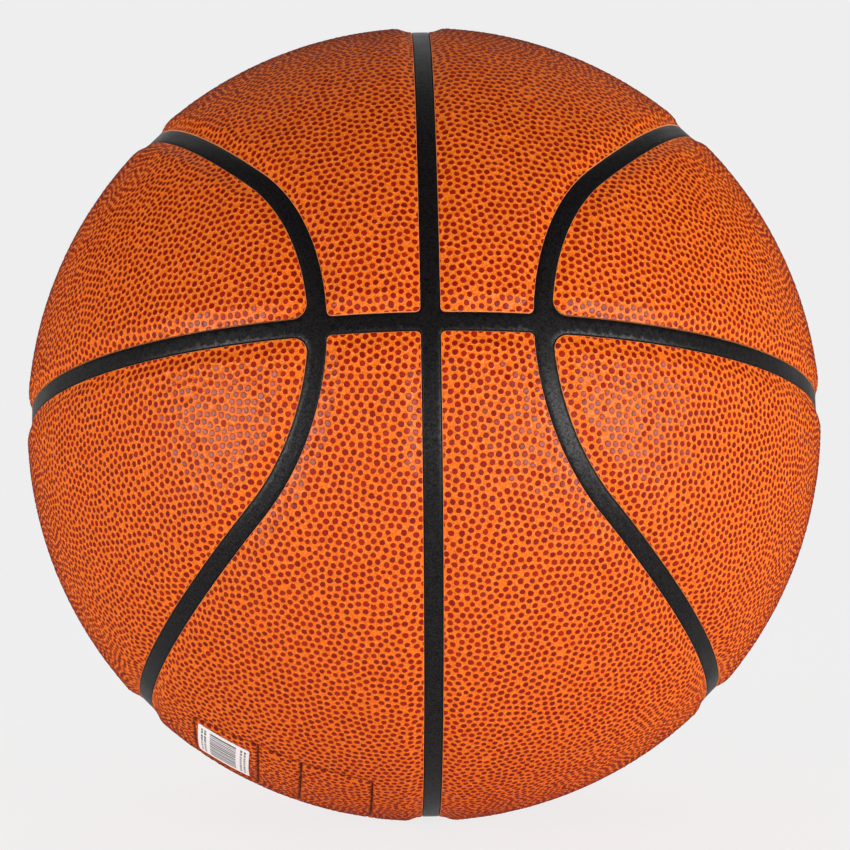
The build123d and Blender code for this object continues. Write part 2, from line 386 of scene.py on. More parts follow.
def triangulate(points, loops, middle, inside):
    """Triangles over directions, with closed loops kept as edges and the outside left away."""
    flat = [Vector(p) for p in flatten(points, middle).tolist()]
    edges = []
    for first, count in loops:
        edges += [(first + k, first + (k + 1) % count) for k in range(count)]
    result = delaunay_2d_cdt(flat, edges, [], 0, 1e-9, True)
    origin = np.array([ids[0] if ids else -1 for ids in result[3]])
    triangles = origin[np.array(result[2])]
    triangles = triangles[(triangles >= 0).all(axis=1)]
    middles = unit(points[triangles].mean(axis=1))
    return triangles[inside(middles)]


def loop_spans(loops):
    """First index and count of each loop, with the loops laid end to end."""
    starts = np.cumsum([0] + [len(loop) for loop in loops])
    return [(int(start), len(loop)) for start, loop in zip(starts, loops)]


def new_piece(name, verts, triangles, attributes, material, body="ball", flat_tops=None):
    """A mesh object, in metres in the frame, that rides on a body. Edges within a flat top are sharp."""
    mesh = bpy.data.meshes.new(name)
    mesh.vertices.add(len(verts))
    mesh.vertices.foreach_set("co", np.asarray(verts, np.float32).ravel() * MM)
    count = len(triangles)
    mesh.loops.add(3 * count)
    mesh.loops.foreach_set("vertex_index", np.asarray(triangles, np.int32).ravel())
    mesh.polygons.add(count)
    mesh.polygons.foreach_set("loop_start", np.arange(0, 3 * count, 3, dtype=np.int32))
    mesh.update()
    mesh.validate()
    mesh.polygons.foreach_set("use_smooth", np.full(len(mesh.polygons), True))
    if flat_tops is not None:
        ends = np.zeros(2 * len(mesh.edges), np.int32)
        mesh.edges.foreach_get("vertices", ends)
        owner = flat_tops[ends.reshape(-1, 2)]
        sharp = mesh.attributes.new("sharp_edge", "BOOLEAN", "EDGE")
        sharp.data.foreach_set("value", (owner[:, 0] == owner[:, 1]) & (owner[:, 0] >= 0))
    for key, values in attributes.items():
        layer = mesh.attributes.new(key, "FLOAT", "POINT")
        layer.data.foreach_set("value", np.asarray(values, np.float32))
    mesh.materials.append(material)
    piece = bpy.data.objects.new(name, mesh)
    bpy.context.scene.collection.objects.link(piece)
    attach(piece, body)
    return piece


def strip(first, second, count):
    """Triangles of a closed band between two loops of equal count."""
    here = np.arange(count)
    after = (here + 1) % count
    lower = np.stack([first + here, first + after, second + after], axis=-1)
    upper = np.stack([first + here, second + after, second + here], axis=-1)
    return np.concatenate([lower, upper])


QUARTERS = {
    "upper_right": np.array([1.0, 1, 1]),
    "upper_left": np.array([-1.0, 1, 1]),
    "lower_right": np.array([1.0, 1, -1]),
    "lower_left": np.array([-1.0, 1, -1]),
}
VALVE_QUARTER = "upper_left"
BOX_QUARTER = "lower_left"
PANEL_MIDDLE = {"center": unit(np.array([0.42, 0, 0.91])), "side": unit(np.array([0.9, 0, 0.44]))}
VALVE = seam_direction(VALVE_SIDE, VALVE_RISE, 1)


def circle_about(direction, radius, count):
    """A circle of directions at a distance in millimetres from a direction."""
    first, second = tangents(direction[None, :])
    angle = np.linspace(0, 2 * pi, count, endpoint=False)
    offset = np.cos(angle)[:, None] * first + np.sin(angle)[:, None] * second
    return unit(direction * (BALL_RADIUS**2 - radius**2) ** 0.5 + radius * offset)


def axis_distance(points, direction):
    """Distance in millimetres of points of the ball from an axis through its centre."""
    away = BALL_RADIUS * np.linalg.norm(np.cross(points, direction), axis=1)
    return np.where(points @ direction > 0, away, BALL_RADIUS)


def bend(start, corner, end):
    """A run of grooves from start to end, by way of a rounded corner."""
    start, corner, end = np.array(start), np.array(corner), np.array(end)
    scale = np.array([1, radians(BALL_RADIUS)])
    near = [
        corner + (far - corner) * GROOVE_CORNER / np.linalg.norm((far - corner) * scale)
        for far in (start, end)
    ]
    part = np.linspace(0, 1, 10)[:, None]
    curve = (1 - part) ** 2 * near[0] + 2 * part * (1 - part) * corner + part**2 * near[1]
    return np.concatenate([[start], curve, [end]])


class Grooves:
    """Outlines of three plain boxes pressed into the lower left centre panel."""

    def __init__(self, signs):
        tops, ends = np.array(GROOVE_TOPS), np.array(GROOVE_ENDS)
        halfway = (tops + ends) / 2
        runs = [bend(halfway[0], tops[0], tops[1]), tops[1:3], bend(tops[2], tops[3], halfway[3])]
        runs += [bend(halfway[3], ends[3], ends[2]), ends[1:3], bend(ends[1], ends[0], halfway[0])]
        runs += [np.array([tops[k], ends[k]]) for k in (1, 2)]
        dense = []
        self.rows = []
        for run in runs:
            path = np.array([
                seam_direction(degrees(side / BALL_RADIUS), rise, -1)
                for side, rise in zip(*spread(*run.T, 0.15))
            ]) * signs
            dense.append(path)
            along = unit(np.gradient(path, axis=0))
            across = np.cross(path, along) * GROOVE_HALF / BALL_RADIUS
            self.rows += [path[::4], unit(path + across)[::4], unit(path - across)[::4]]
        self.tree = point_tree(np.concatenate(dense))
        rows = np.concatenate(self.rows)
        cells = np.round(rows * BALL_RADIUS / GROOVE_CELL).astype(int)
        _, first = np.unique(cells, axis=0, return_index=True)
        self.rows = rows[np.sort(first)]

    def distance(self, points):
        """Distance in millimetres from the nearest groove."""
        return BALL_RADIUS * np.array([self.tree.find(point)[2] for point in points.tolist()])


def spread(sides, rises, step):
    """A run of the box outlines with its points a step apart."""
    length = np.hypot(np.diff(sides), BALL_RADIUS * np.radians(np.diff(rises)))
    travel = np.concatenate([[0], np.cumsum(length)])
    marks = np.linspace(0, travel[-1], max(int(travel[-1] / step), 2))
    return np.interp(marks, travel, sides), np.interp(marks, travel, rises)


def build_cover(family, quarter, seed, material):
    """One pebbled cover panel: outside, cut edge, glued flange and hollow underside."""
    rng = np.random.default_rng(seed)
    signs = QUARTERS[quarter]
    has_valve = family == "center" and quarter == VALVE_QUARTER
    has_boxes = family == "center" and quarter == BOX_QUARTER
    valve = VALVE * signs
    radius = CORNER_RADIUS[family]
    middle = PANEL_MIDDLE[family]

    def clear_of(points, edge_room, hole_room):
        clear = edge_distance(points, family) > COVER_HALF + edge_room
        if has_valve:
            clear &= axis_distance(points, valve) > VALVE_HOLE_RADIUS + hole_room
        return clear

    # Outside: outline, line behind the cut edge, grooves of the marked boxes, rings of the pebbles
    pebbles = Pebbles(family, rng)
    rim = outline(family, COVER_HALF, radius, COVER_STEP)
    brow = outline(family, COVER_HALF + CUT_EDGE, radius - CUT_EDGE, COVER_STEP)
    loops = [rim, brow]
    if has_valve:
        loops += [circle_about(valve, VALVE_HOLE_RADIUS + wide, HOLE_SIDES) for wide in (0, CUT_EDGE)]
    spans = loop_spans(loops)
    groove = Grooves(signs) if has_boxes else None
    rows = [groove.rows] if has_boxes else []
    tops, top_owner = pebbles.ring_points(PEBBLE_TOP)
    feet, foot_owner = pebbles.ring_points(PEBBLE_FOOT)
    rings = np.concatenate([tops, feet])
    owner = np.concatenate([top_owner, np.full(len(foot_owner), -1)])
    kept = (rings[:, 0] > 0) & (rings[:, 2] > 0)
    rings, owner = rings[kept], owner[kept]
    kept = clear_of(rings, CUT_EDGE + RING_ROOM, CUT_EDGE + RING_ROOM)
    if has_boxes:
        kept &= groove.distance(rings) > GROOVE_HALF + GROOVE_ROOM
    rings, owner = rings[kept], owner[kept]
    outside = np.concatenate(loops + rows + [rings])
    top = triangulate(outside, spans, middle, lambda p: clear_of(p, -EDGE_SLACK, -HOLE_SLACK))
    height, reach, shade = pebbles.height(outside)
    sunk = dark = np.zeros(len(outside))
    if has_boxes:
        away = groove.distance(outside)
        sunk = np.interp(away, [GROOVE_FLOOR, GROOVE_HALF, GROOVE_SHOULDER], [1, 0.3, 0])
        # Painted shade: the dark mask is 1 in the groove floors, where the colour is darkened for the
        # shade in the recess
        dark = np.interp(away, [2 * GROOVE_FLOOR, GROOVE_HALF + GROOVE_FLOOR], [1, 0])
    rise = roll(outside, family)
    press = (EDGE_PRESS + (1 - EDGE_PRESS) * rise) * (1 - sunk)
    valley = RIB_TOP + (BALL_RADIUS - VALLEY_DEPTH - RIB_TOP) * rise
    radii = valley + height * press - GROOVE_DEPTH * sunk
    edge = np.zeros(len(outside))
    for start, count in spans[::2]:
        edge[start:start + count] = 1
        radii[start:start + count] -= RIM_DROP
    flat_tops = np.full(len(outside), -1)
    flat_tops[-len(owner):] = owner

    # Underside: the glued flange round the edge, a step and the hollow for the pad
    step = outline(family, COVER_HALF + BOND_WIDTH, HOLLOW_CORNER, HOLLOW_STEP)
    low_loops = [rim, step]
    if has_valve:
        low_loops.append(loops[2])
    grid = even_directions(COARSE_STEP**2)
    grid = grid[(grid[:, 0] > 0) & (grid[:, 2] > 0)]
    grid = grid[clear_of(grid, BOND_WIDTH + 3.0, 3.0)]
    under = np.concatenate(low_loops + [grid])
    low_spans = loop_spans(low_loops)
    bottom = triangulate(under, low_spans, middle, lambda p: clear_of(p, -EDGE_SLACK, -HOLE_SLACK))
    under_radii = np.full(len(under), COVER_INNER)
    under_radii[:len(rim) + len(step)] = FLANGE_INNER

    # The step of the hollow: its loop is doubled, and faces inside it use the upper copy
    base = len(outside)
    first_step, step_count = low_spans[1]
    upper_copy = base + len(under)
    in_hollow = edge_distance(unit(under[bottom].mean(axis=1)), family) > COVER_HALF + BOND_WIDTH
    bottom = bottom + base
    hollow = bottom[in_hollow]
    on_step = (hollow >= base + first_step) & (hollow < base + first_step + step_count)
    hollow = np.where(on_step, hollow - base - first_step + upper_copy, hollow)
    bottom = np.concatenate([bottom[~in_hollow], hollow])[:, ::-1]

    points = np.concatenate([outside, under, step])
    radii = np.concatenate([radii, under_radii, np.full(step_count, COVER_INNER)])
    triangles = [orient(top, points, 1), orient(bottom, points, -1)]
    walls = [strip(0, base, len(rim)), strip(base + first_step, upper_copy, step_count)]
    if has_valve:
        walls.append(strip(spans[2][0], base + low_spans[2][0], len(loops[2])))
    triangles = np.concatenate(triangles + walls)
    spare = len(points) - base
    attributes = {
        "reach": np.concatenate([reach, np.full(spare, FAR_REACH)]),
        "shade": np.concatenate([shade, np.zeros(spare)]),
        "edge": np.concatenate([edge, np.ones(spare)]),
        "groove": np.concatenate([dark, np.zeros(spare)]),
    }
    flat_tops = np.concatenate([flat_tops, np.full(spare, -1)])
    verts = (points * radii[:, None] * signs) @ SEAM_TO_WORLD.T
    if signs.prod() < 0:
        triangles = triangles[:, ::-1]
    name = f"cover_{family}_{quarter}"
    piece = new_piece(name, verts, triangles, attributes, material, flat_tops=flat_tops)
    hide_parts(f"{family}_panel_{quarter}")


def orient(triangles, points, sense):
    """Triangles turned so that they face away from the centre, or towards it."""
    corners = points[triangles]
    normal = np.cross(corners[:, 1] - corners[:, 0], corners[:, 2] - corners[:, 0])
    wrong = (normal * corners[:, 0]).sum(axis=1) * sense < 0
    return np.where(wrong[:, None], triangles[:, ::-1], triangles)


def quarter_border(count):
    """Border of the upper right quarter, along the middles of the upright and the level seam."""
    bow = np.linspace(0, pi, count)
    upright = np.stack([0 * bow, -np.cos(bow), np.sin(bow)], axis=-1)
    level = np.stack([np.sin(bow), -np.cos(bow), 0 * bow], axis=-1)[1:-1]
    return np.concatenate([upright, level[::-1]])


def build_carcass(material):
    """The carcass: ribs with rounded shoulders, a pocket under each panel and the inside."""
    middle = unit(np.array([1.0, 0, 1]))
    valve_folded = VALVE * QUARTERS[VALVE_QUARTER]
    hole = circle_about(valve_folded, VALVE_HOLE_RADIUS, HOLE_SIDES)
    hole_room, rib_room = 2.0, 2.5

    def on_rib(points, limit):
        return np.maximum(edge_distance(points, "center"), edge_distance(points, "side")) < limit

    def off_hole(points, room):
        return axis_distance(points, valve_folded) > VALVE_HOLE_RADIUS + room

    def off_border(points, share):
        return points[(points[:, 0] > share) & (points[:, 2] > share)]

    # Ribs: the border of the quarter, the shoulder's lines on both sides and points between them
    border = quarter_border(int(pi * RIB_TOP / RIB_MIDDLE_STEP))
    loops, falls = [border], [np.zeros(len(border))]
    for family, corner_radius in CORNER_RADIUS.items():
        for offset, fall in RIB_SHOULDER:
            loops.append(outline(family, offset, COVER_HALF + corner_radius - offset, RIB_STEP))
            falls.append(np.full(len(loops[-1]), fall))
    fill = off_border(even_directions(RIB_FILL_STEP**2), 0.006)
    fill = fill[on_rib(fill, RIB_SHOULDER[0][0] - 0.5)]
    points = np.concatenate(loops + [fill])
    radii = RIB_TOP - np.concatenate(falls + [np.zeros(len(fill))])
    spans = loop_spans(loops)
    faces = triangulate(points, spans, middle, lambda p: on_rib(p, RIB_HALF + EDGE_SLACK))
    ribs = (points * radii[:, None], orient(faces, points, 1))

    # Pockets: the wall from the foot of the shoulder down to a floor, with and without the valve's hole
    coarse = off_border(even_directions(COARSE_STEP**2), 0.02)
    plain, holed = [ribs], [ribs]
    for number, family in enumerate(CORNER_RADIUS):
        foot_place = len(RIB_SHOULDER) * (number + 1)
        start, count = spans[foot_place]
        foot = loops[foot_place]
        foot_radii = radii[start:start + count]
        inner = coarse[edge_distance(coarse, family) > RIB_HALF + rib_room]
        for with_hole, found in ((False, plain), (True, holed)):
            cut = with_hole and family == "center"
            rest = inner[off_hole(inner, hole_room)] if cut else inner
            floor = np.concatenate([foot, hole, rest] if cut else [foot, rest])

            def in_pocket(p):
                clear = edge_distance(p, family) > RIB_HALF - EDGE_SLACK
                return clear & off_hole(p, -HOLE_SLACK) if cut else clear

            faces = triangulate(floor, loop_spans([foot, hole] if cut else [foot]), middle, in_pocket)
            found.append((
                np.concatenate([foot * foot_radii[:, None], floor * CARCASS_OUTER]),
                np.concatenate([strip(0, count, count), orient(faces, floor, 1) + count]),
            ))

    # Inside, and the wall of the valve's hole
    border = quarter_border(42)
    inner = off_border(coarse, 0.06)
    for with_hole, found in ((False, plain), (True, holed)):
        rest = inner[off_hole(inner, hole_room)] if with_hole else inner
        inside = np.concatenate([border, hole, rest] if with_hole else [border, rest])
        borders = loop_spans([border, hole] if with_hole else [border])
        room = -HOLE_SLACK if with_hole else -BALL_RADIUS
        faces = triangulate(inside, borders, middle, lambda p: off_hole(p, room))
        found.append((inside * CARCASS_INNER, orient(faces, inside, -1)))
    wall = np.concatenate([hole * CARCASS_OUTER, hole * CARCASS_INNER])
    holed.append((wall, strip(0, HOLE_SIDES, HOLE_SIDES)))

    # The four quarters, mirrored and joined
    verts, triangles, total = [], [], 0
    for quarter, signs in QUARTERS.items():
        for part_verts, part_triangles in holed if quarter == VALVE_QUARTER else plain:
            facing = part_triangles[:, ::-1] if signs.prod() < 0 else part_triangles
            verts.append(part_verts * signs)
            triangles.append(facing + total)
            total += len(part_verts)
    verts, triangles = weld(np.concatenate(verts), np.concatenate(triangles))
    piece = new_piece("rubber_carcass", verts @ SEAM_TO_WORLD.T, triangles, {}, material)
    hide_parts("carcass")


def rounded_profile(corners):
    """A closed profile of radius, height and rounding, with its corners turned to short curves."""
    places = [np.array(corner[:2], float) for corner in corners]
    points = []
    for number, place in enumerate(places):
        rounding = corners[number][2]
        start = place + rounding * unit(places[number - 1] - place)
        end = place + rounding * unit(places[(number + 1) % len(places)] - place)
        for part in np.linspace(0, 1, 6 if rounding else 1):
            points.append((1 - part) ** 2 * start + 2 * part * (1 - part) * place + part**2 * end)
    return np.array(points)


def sphere_rim(radius, first, last):
    """Profile points on a sphere about the centre of the ball, from one radius off the axis to another."""
    return [(across, (radius**2 - across**2) ** 0.5, 0) for across in np.linspace(first, last, 6)]


def build_turned(name, node, corners, material, body):
    """A piece turned about the valve's axis from its closed profile."""
    profile = rounded_profile(corners)
    around = 72
    first, second = (side[0] for side in tangents(VALVE[None, :]))
    angle = np.linspace(0, 2 * pi, around, endpoint=False)
    spokes = np.cos(angle)[:, None] * first + np.sin(angle)[:, None] * second
    verts = np.concatenate([across * spokes + height * VALVE for across, height in profile])
    count = len(profile)
    triangles = np.concatenate([strip(k * around, (k + 1) % count * around, around) for k in range(count)])
    verts, triangles = weld(verts, triangles)
    corner = verts[triangles] - VALVE * profile[:, 1].mean()
    if np.linalg.det(corner).sum() < 0:
        triangles = triangles[:, ::-1]
    piece = new_piece(name, verts @ SEAM_TO_WORLD.T, triangles, {}, material, body)
    piece.data.set_sharp_from_angle(angle=radians(40))
    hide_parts(node)


def build_valve(housing_material, plug_material):
    """The valve's housing, and the plug in it with the needle's hole."""
    # Heights from the centre of the ball: spheres of the flange, its edge, then levels on the valve's axis
    flange_outer, flange_inner = 115.75, 114.25
    edge_top, edge_bottom = 114.98, 113.55
    top, head_bottom, seat, barrel_end = 120.6, 119.0, 118.85, 102.25
    funnel_end, seal_top, tip_end = 120.1, 104.25, 101.25
    # Distances from the valve's axis
    neck, barrel, flange, flange_turn = 4.5, 5.0, 13.0, 12.6
    head_hole, stem_hole = 3.35, 2.75
    head, stem, tip, funnel, needle = 3.2, 2.6, 2.2, 1.7, 1.2
    housing = [(head_hole, top, 0.12), (neck, top, 0.4)]
    housing += sphere_rim(flange_outer, neck, flange_turn) + [(flange, edge_top, 0.3)]
    housing += [(flange, edge_bottom, 0.3)] + sphere_rim(flange_inner, flange_turn, barrel)
    housing += [(barrel, barrel_end, 0.5), (stem_hole, barrel_end, 0.2)]
    housing += [(stem_hole, seat, 0), (head_hole, seat, 0)]
    build_turned("valve_mouth", "valve_housing", housing, housing_material, "ball")
    plug = [(0, tip_end, 0), (tip, tip_end, 0.5), (stem, head_bottom, 0), (head, head_bottom, 0.12)]
    plug += [(head, top, 0.3), (funnel, top, 0.15), (needle, funnel_end, 0.2)]
    plug += [(needle, seal_top, 0), (0, seal_top, 0)]
    build_turned("valve_insert", "valve_plug", plug, plug_material, "plug")


def build_label(material):
    """The paper label, bent to the ball, with its own coordinates from 0 to 1."""
    axis = seam_direction(LABEL_SIDE, LABEL_RISE, -1)
    level = unit(RIGHT - axis[0] * axis)
    steep = np.cross(axis, level)
    turn = radians(LABEL_TURN)
    first = cos(turn) * level + sin(turn) * steep
    second = cos(turn) * steep - sin(turn) * level
    straight = LABEL_HEIGHT / 2 - LABEL_CORNER
    arc = np.linspace(0, pi / 2, 7)
    rows = np.concatenate([
        -straight - LABEL_CORNER * np.cos(arc),
        np.linspace(-straight, straight, 25)[1:-1],
        straight + LABEL_CORNER * np.sin(arc),
    ])
    past = np.clip(np.abs(rows) - straight, 0, LABEL_CORNER)
    half = LABEL_WIDTH / 2 - LABEL_CORNER + np.sqrt(LABEL_CORNER**2 - past**2)
    across = half[:, None] * np.linspace(-1, 1, 19)
    along = np.broadcast_to(rows[:, None], across.shape)
    faces = [
        across[..., None] * first + along[..., None] * second
        + np.sqrt(radius**2 - across**2 - along**2)[..., None] * axis
        for radius in (LABEL_OUTER, LABEL_INNER)
    ]
    place = np.arange(across.size).reshape(across.shape)
    low, right, high, left = place[:-1, :-1], place[:-1, 1:], place[1:, 1:], place[1:, :-1]
    corners = [np.stack(trio, axis=-1).reshape(-1, 3) for trio in ((low, right, high), (low, high, left))]
    face = np.concatenate(corners)
    border = np.concatenate([place[0, :-1], place[:-1, -1], place[-1, :0:-1], place[:0:-1, 0]])
    wall = np.concatenate([border + across.size, border])
    triangles = [face, face[:, ::-1] + across.size, wall[strip(0, len(border), len(border))]]
    verts = np.concatenate([part.reshape(-1, 3) for part in faces])
    blank = np.zeros(across.size)
    attributes = {
        "across": np.concatenate([across.ravel() / LABEL_WIDTH + 0.5, blank]),
        "along": np.concatenate([along.ravel() / LABEL_HEIGHT + 0.5, blank]),
    }
    verts = verts @ SEAM_TO_WORLD.T
    triangles = np.concatenate(triangles)
    piece = new_piece("label_sheet", verts, triangles, attributes, material)
    piece.data.set_sharp_from_angle(angle=radians(40))
    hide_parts("paper_label")


def weld(verts, triangles):
    """Points that coincide made one, and faces that collapse left out."""
    _, first, place = np.unique(np.round(verts, 4), axis=0, return_index=True, return_inverse=True)
    triangles = place.ravel()[triangles]
    one, two, three = triangles.T
    whole = (one != two) & (two != three) & (one != three)
    return verts[first], triangles[whole]


class Nodes:
    """A material's node tree, with short calls for adding and linking nodes."""

    def __init__(self, name):
        self.material = bpy.data.materials.new(name)
        self.material.use_nodes = True
        self.tree = self.material.node_tree
        self.shader = self.tree.nodes["Principled BSDF"]
        self.output = self.tree.nodes["Material Output"]

    def add(self, kind, **values):
        node = self.tree.nodes.new(kind)
        for key, value in values.items():
            setattr(node, key, value)
        return node

    def link(self, source, target):
        self.tree.links.new(source, target)

    def set(self, **values):
        for key, value in values.items():
            self.shader.inputs[key.replace("_", " ")].default_value = value

    def attribute(self, name):
        return self.add("ShaderNodeAttribute", attribute_name=name).outputs["Fac"]

    def noise(self, scale, detail=3.0, roughness=0.5):
        node = self.add("ShaderNodeTexNoise")
        place = self.add("ShaderNodeTexCoord")
        self.link(place.outputs["Object"], node.inputs["Vector"])
        node.inputs["Scale"].default_value = scale
        node.inputs["Detail"].default_value = detail
        node.inputs["Roughness"].default_value = roughness
        return node.outputs["Fac"]

    def ramp(self, source, *stops):
        node = self.add("ShaderNodeValToRGB")
        elements = node.color_ramp.elements
        while len(elements) < len(stops):
            elements.new(0.5)
        for element, (place, colour) in zip(elements, stops):
            element.position = place
            element.color = (*colour, 1)
        self.link(source, node.inputs["Fac"])
        return node.outputs["Color"]

    def mix(self, factor, first, second, blend="MIX"):
        node = self.add("ShaderNodeMix", data_type="RGBA", blend_type=blend)
        sockets = (node.inputs[0], node.inputs[6], node.inputs[7])
        for socket, value in zip(sockets, (factor, first, second)):
            if isinstance(value, bpy.types.NodeSocket):
                self.link(value, socket)
            elif isinstance(value, tuple):
                socket.default_value = (*value, 1)
            else:
                socket.default_value = value
        return node.outputs[2]

    def map_range(self, source, low, high, to_low, to_high):
        node = self.add("ShaderNodeMapRange")
        self.link(source, node.inputs["Value"])
        for key, value in (("From Min", low), ("From Max", high), ("To Min", to_low), ("To Max", to_high)):
            node.inputs[key].default_value = value
        return node.outputs["Result"]

    def math(self, operation, first, second):
        node = self.add("ShaderNodeMath", operation=operation)
        self.link(first, node.inputs[0])
        self.link(second, node.inputs[1])
        return node.outputs[0]

    def bands(self, source, edges):
        """1 from the first edge to the second, from the third to the fourth and so on, and 0 elsewhere."""
        node = self.add("ShaderNodeValToRGB")
        node.color_ramp.interpolation = "CONSTANT"
        elements = node.color_ramp.elements
        elements[0].color = elements[1].color = (0, 0, 0, 1)
        for number, place in enumerate(edges):
            shade = (number + 1) % 2
            elements.new(place).color = (shade, shade, shade, 1)
        self.link(source, node.inputs["Fac"])
        return node.outputs["Color"]

    def bump(self, source, strength, distance):
        node = self.add("ShaderNodeBump")
        node.inputs["Strength"].default_value = strength
        node.inputs["Distance"].default_value = distance
        self.link(source, node.inputs["Height"])
        self.link(node.outputs["Normal"], self.shader.inputs["Normal"])

    def colour(self, socket):
        self.link(socket, self.shader.inputs["Base Color"])

    def rough(self, socket):
        self.link(socket, self.shader.inputs["Roughness"])


def cover_material():
    """Composite leather: an orange net with dark red pebble tops, and a pale cut edge, with painted shade
    on the pebble slopes and groove floors and painted glints on the net.
    """
    nodes = Nodes("pebbled_composite_leather")
    cloud = nodes.noise(9.0, 2.0)
    fine = nodes.noise(2400.0, 2.0)
    net = nodes.ramp(cloud, (0.3, (0.76, 0.122, 0.004)), (0.7, (0.80, 0.148, 0.006)))
    # Fine mottle of the net. Its palest stop (1.0, 0.36, 0.09) is painted highlight: small glints painted
    # onto the net
    net_mottle_and_glints = nodes.ramp(
        fine, (0.36, (0.58, 0.055, 0.002)), (0.56, (0.90, 0.20, 0.016)), (0.68, (1.0, 0.36, 0.09)))
    net = nodes.mix(0.5, net, net_mottle_and_glints)
    shade = nodes.attribute("shade")
    tops = nodes.ramp(shade, (0.0, (0.21, 0.0035, 0.0006)), (1.0, (0.34, 0.011, 0.001)))
    reach = nodes.attribute("reach")
    flat_share = nodes.map_range(reach, PEBBLE_TOP + 0.005, PEBBLE_TOP + 0.05, 1, 0)
    # Painted shade: the slope round each flat top is coloured a darker maroon (0.085, 0.004, 0.001),
    # standing in for the shade of a slope turned from the light
    tops = nodes.mix(flat_share, (0.085, 0.004, 0.001), tops)
    top_share = nodes.map_range(reach, 0.93, 1.0, 1, 0)
    colour = nodes.mix(top_share, net, tops)
    groove = nodes.attribute("groove")
    # Painted shade: the groove floors are darkened to (0.045, 0.004, 0.002), for the shade in the narrow
    # recess
    colour = nodes.mix(groove, colour, (0.045, 0.004, 0.002))
    colour = nodes.mix(nodes.attribute("edge"), colour, (0.80, 0.30, 0.13))
    nodes.colour(colour)
    shine = nodes.map_range(flat_share, 0, 1, 0.035, 0.064)
    shine = nodes.math("MULTIPLY", shine, nodes.map_range(groove, 0, 1, 1, 0))
    nodes.link(shine, nodes.shader.inputs["Coat Weight"])
    nodes.set(Roughness=0.7, Specular_IOR_Level=0.02, Coat_IOR=3.0, Coat_Roughness=0.23)
    grain = nodes.math("MULTIPLY", nodes.noise(2800.0, 2.0), nodes.map_range(flat_share, 0, 1, 1, 0.15))
    nodes.bump(grain, 0.6, 0.00015)
    return nodes.material


def rubber_material(name, colour, rough, grain, strength, shine=0.1):
    """Moulded rubber: dark, a little uneven, with a fine grain."""
    nodes = Nodes(name)
    dark = tuple(0.4 * c for c in colour)
    light = tuple(1.8 * c for c in colour)
    nodes.colour(nodes.ramp(nodes.noise(grain * 0.5, 3.0, 0.6), (0.36, dark), (0.64, light)))
    nodes.rough(nodes.map_range(nodes.noise(60.0, 3.0), 0.3, 0.7, rough - 0.07, rough + 0.07))
    speck = nodes.map_range(nodes.noise(grain * 0.9, 2.0, 0.7), 0.32, 0.68, 0.25 * shine, 1.75 * shine)
    nodes.link(speck, nodes.shader.inputs["Coat Weight"])
    nodes.set(Specular_IOR_Level=0.02, Coat_IOR=3.0, Coat_Roughness=rough)
    nodes.bump(nodes.noise(grain, 3.0, 0.65), strength, 0.0003)
    return nodes.material


def foam_material():
    """Pale foam with small cells."""
    nodes = Nodes("pad_foam")
    cells = nodes.noise(1400.0, 3.0, 0.6)
    nodes.colour(nodes.ramp(cells, (0.3, (0.62, 0.55, 0.38)), (0.7, (0.80, 0.74, 0.58))))
    nodes.set(Roughness=0.9)
    nodes.bump(cells, 0.5, 0.0003)
    return nodes.material


def thread_material():
    """Wound nylon thread: crossing sets of fine lines in a milky latex."""
    nodes = Nodes("wound_thread")
    place = nodes.add("ShaderNodeTexCoord").outputs["Object"]
    heights = None
    for turn in ((0.3, 0.2, 0.9), (1.2, 0.7, 0.1), (0.5, 1.9, 1.1)):
        mapping = nodes.add("ShaderNodeMapping")
        mapping.inputs["Rotation"].default_value = turn
        nodes.link(place, mapping.inputs["Vector"])
        wave = nodes.add("ShaderNodeTexWave")
        wave.inputs["Scale"].default_value = 260.0
        wave.inputs["Distortion"].default_value = 1.5
        nodes.link(mapping.outputs["Vector"], wave.inputs["Vector"])
        heights = wave.outputs["Fac"] if heights is None else nodes.mix(0.5, heights, wave.outputs["Fac"])
    nodes.colour(nodes.ramp(heights, (0.2, (0.55, 0.53, 0.47)), (0.8, (0.84, 0.83, 0.78))))
    nodes.set(Roughness=0.55)
    nodes.bump(heights, 0.6, 0.0003)
    return nodes.material


def paper_material():
    """Coated white paper with a field of grey bars and plain dashes, placed by the label's coordinates."""
    nodes = Nodes("label_paper")
    across, along = nodes.attribute("across"), nodes.attribute("along")
    # Each field: the edges of its columns, the number of its bars and the seed of their widths
    bar_field = ((0.24, 0.75), 13, 5)
    dash_fields = (((0.06, 0.1, 0.125, 0.165), 9, 6), ((0.83, 0.87, 0.9, 0.94), 10, 7))
    margin = 0.06
    ink = None
    for columns, rows, seed in (bar_field, *dash_fields):
        widths = np.random.default_rng(seed).uniform(0.6, 1.4, 2 * rows) * np.tile([0.75, 1.25], rows)
        steps = widths.cumsum()
        edges = margin + (1 - 2 * margin) * steps / (steps[-1] + 0.6)
        field = nodes.math("MULTIPLY", nodes.bands(across, columns), nodes.bands(along, edges.tolist()))
        ink = field if ink is None else nodes.math("MAXIMUM", ink, field)
    nodes.colour(nodes.mix(ink, (0.94, 0.94, 0.93), (0.05, 0.05, 0.06)))
    nodes.set(Roughness=0.45)
    nodes.bump(nodes.noise(2500.0, 2.0), 0.06, 0.0001)
    return nodes.material


cover = cover_material()
seam_rubber = rubber_material("seam_rubber", (0.0035, 0.0026, 0.0029), 0.36, 2000.0, 0.7, 0.055)
bladder_rubber = rubber_material("bladder_rubber", (0.03, 0.03, 0.033), 0.6, 500.0, 0.15)
valve_rubber = rubber_material("valve_rubber", (0.018, 0.018, 0.018), 0.42, 2200.0, 0.12)
plug_rubber = rubber_material("plug_rubber", (0.03, 0.027, 0.025), 0.4, 2200.0, 0.12)

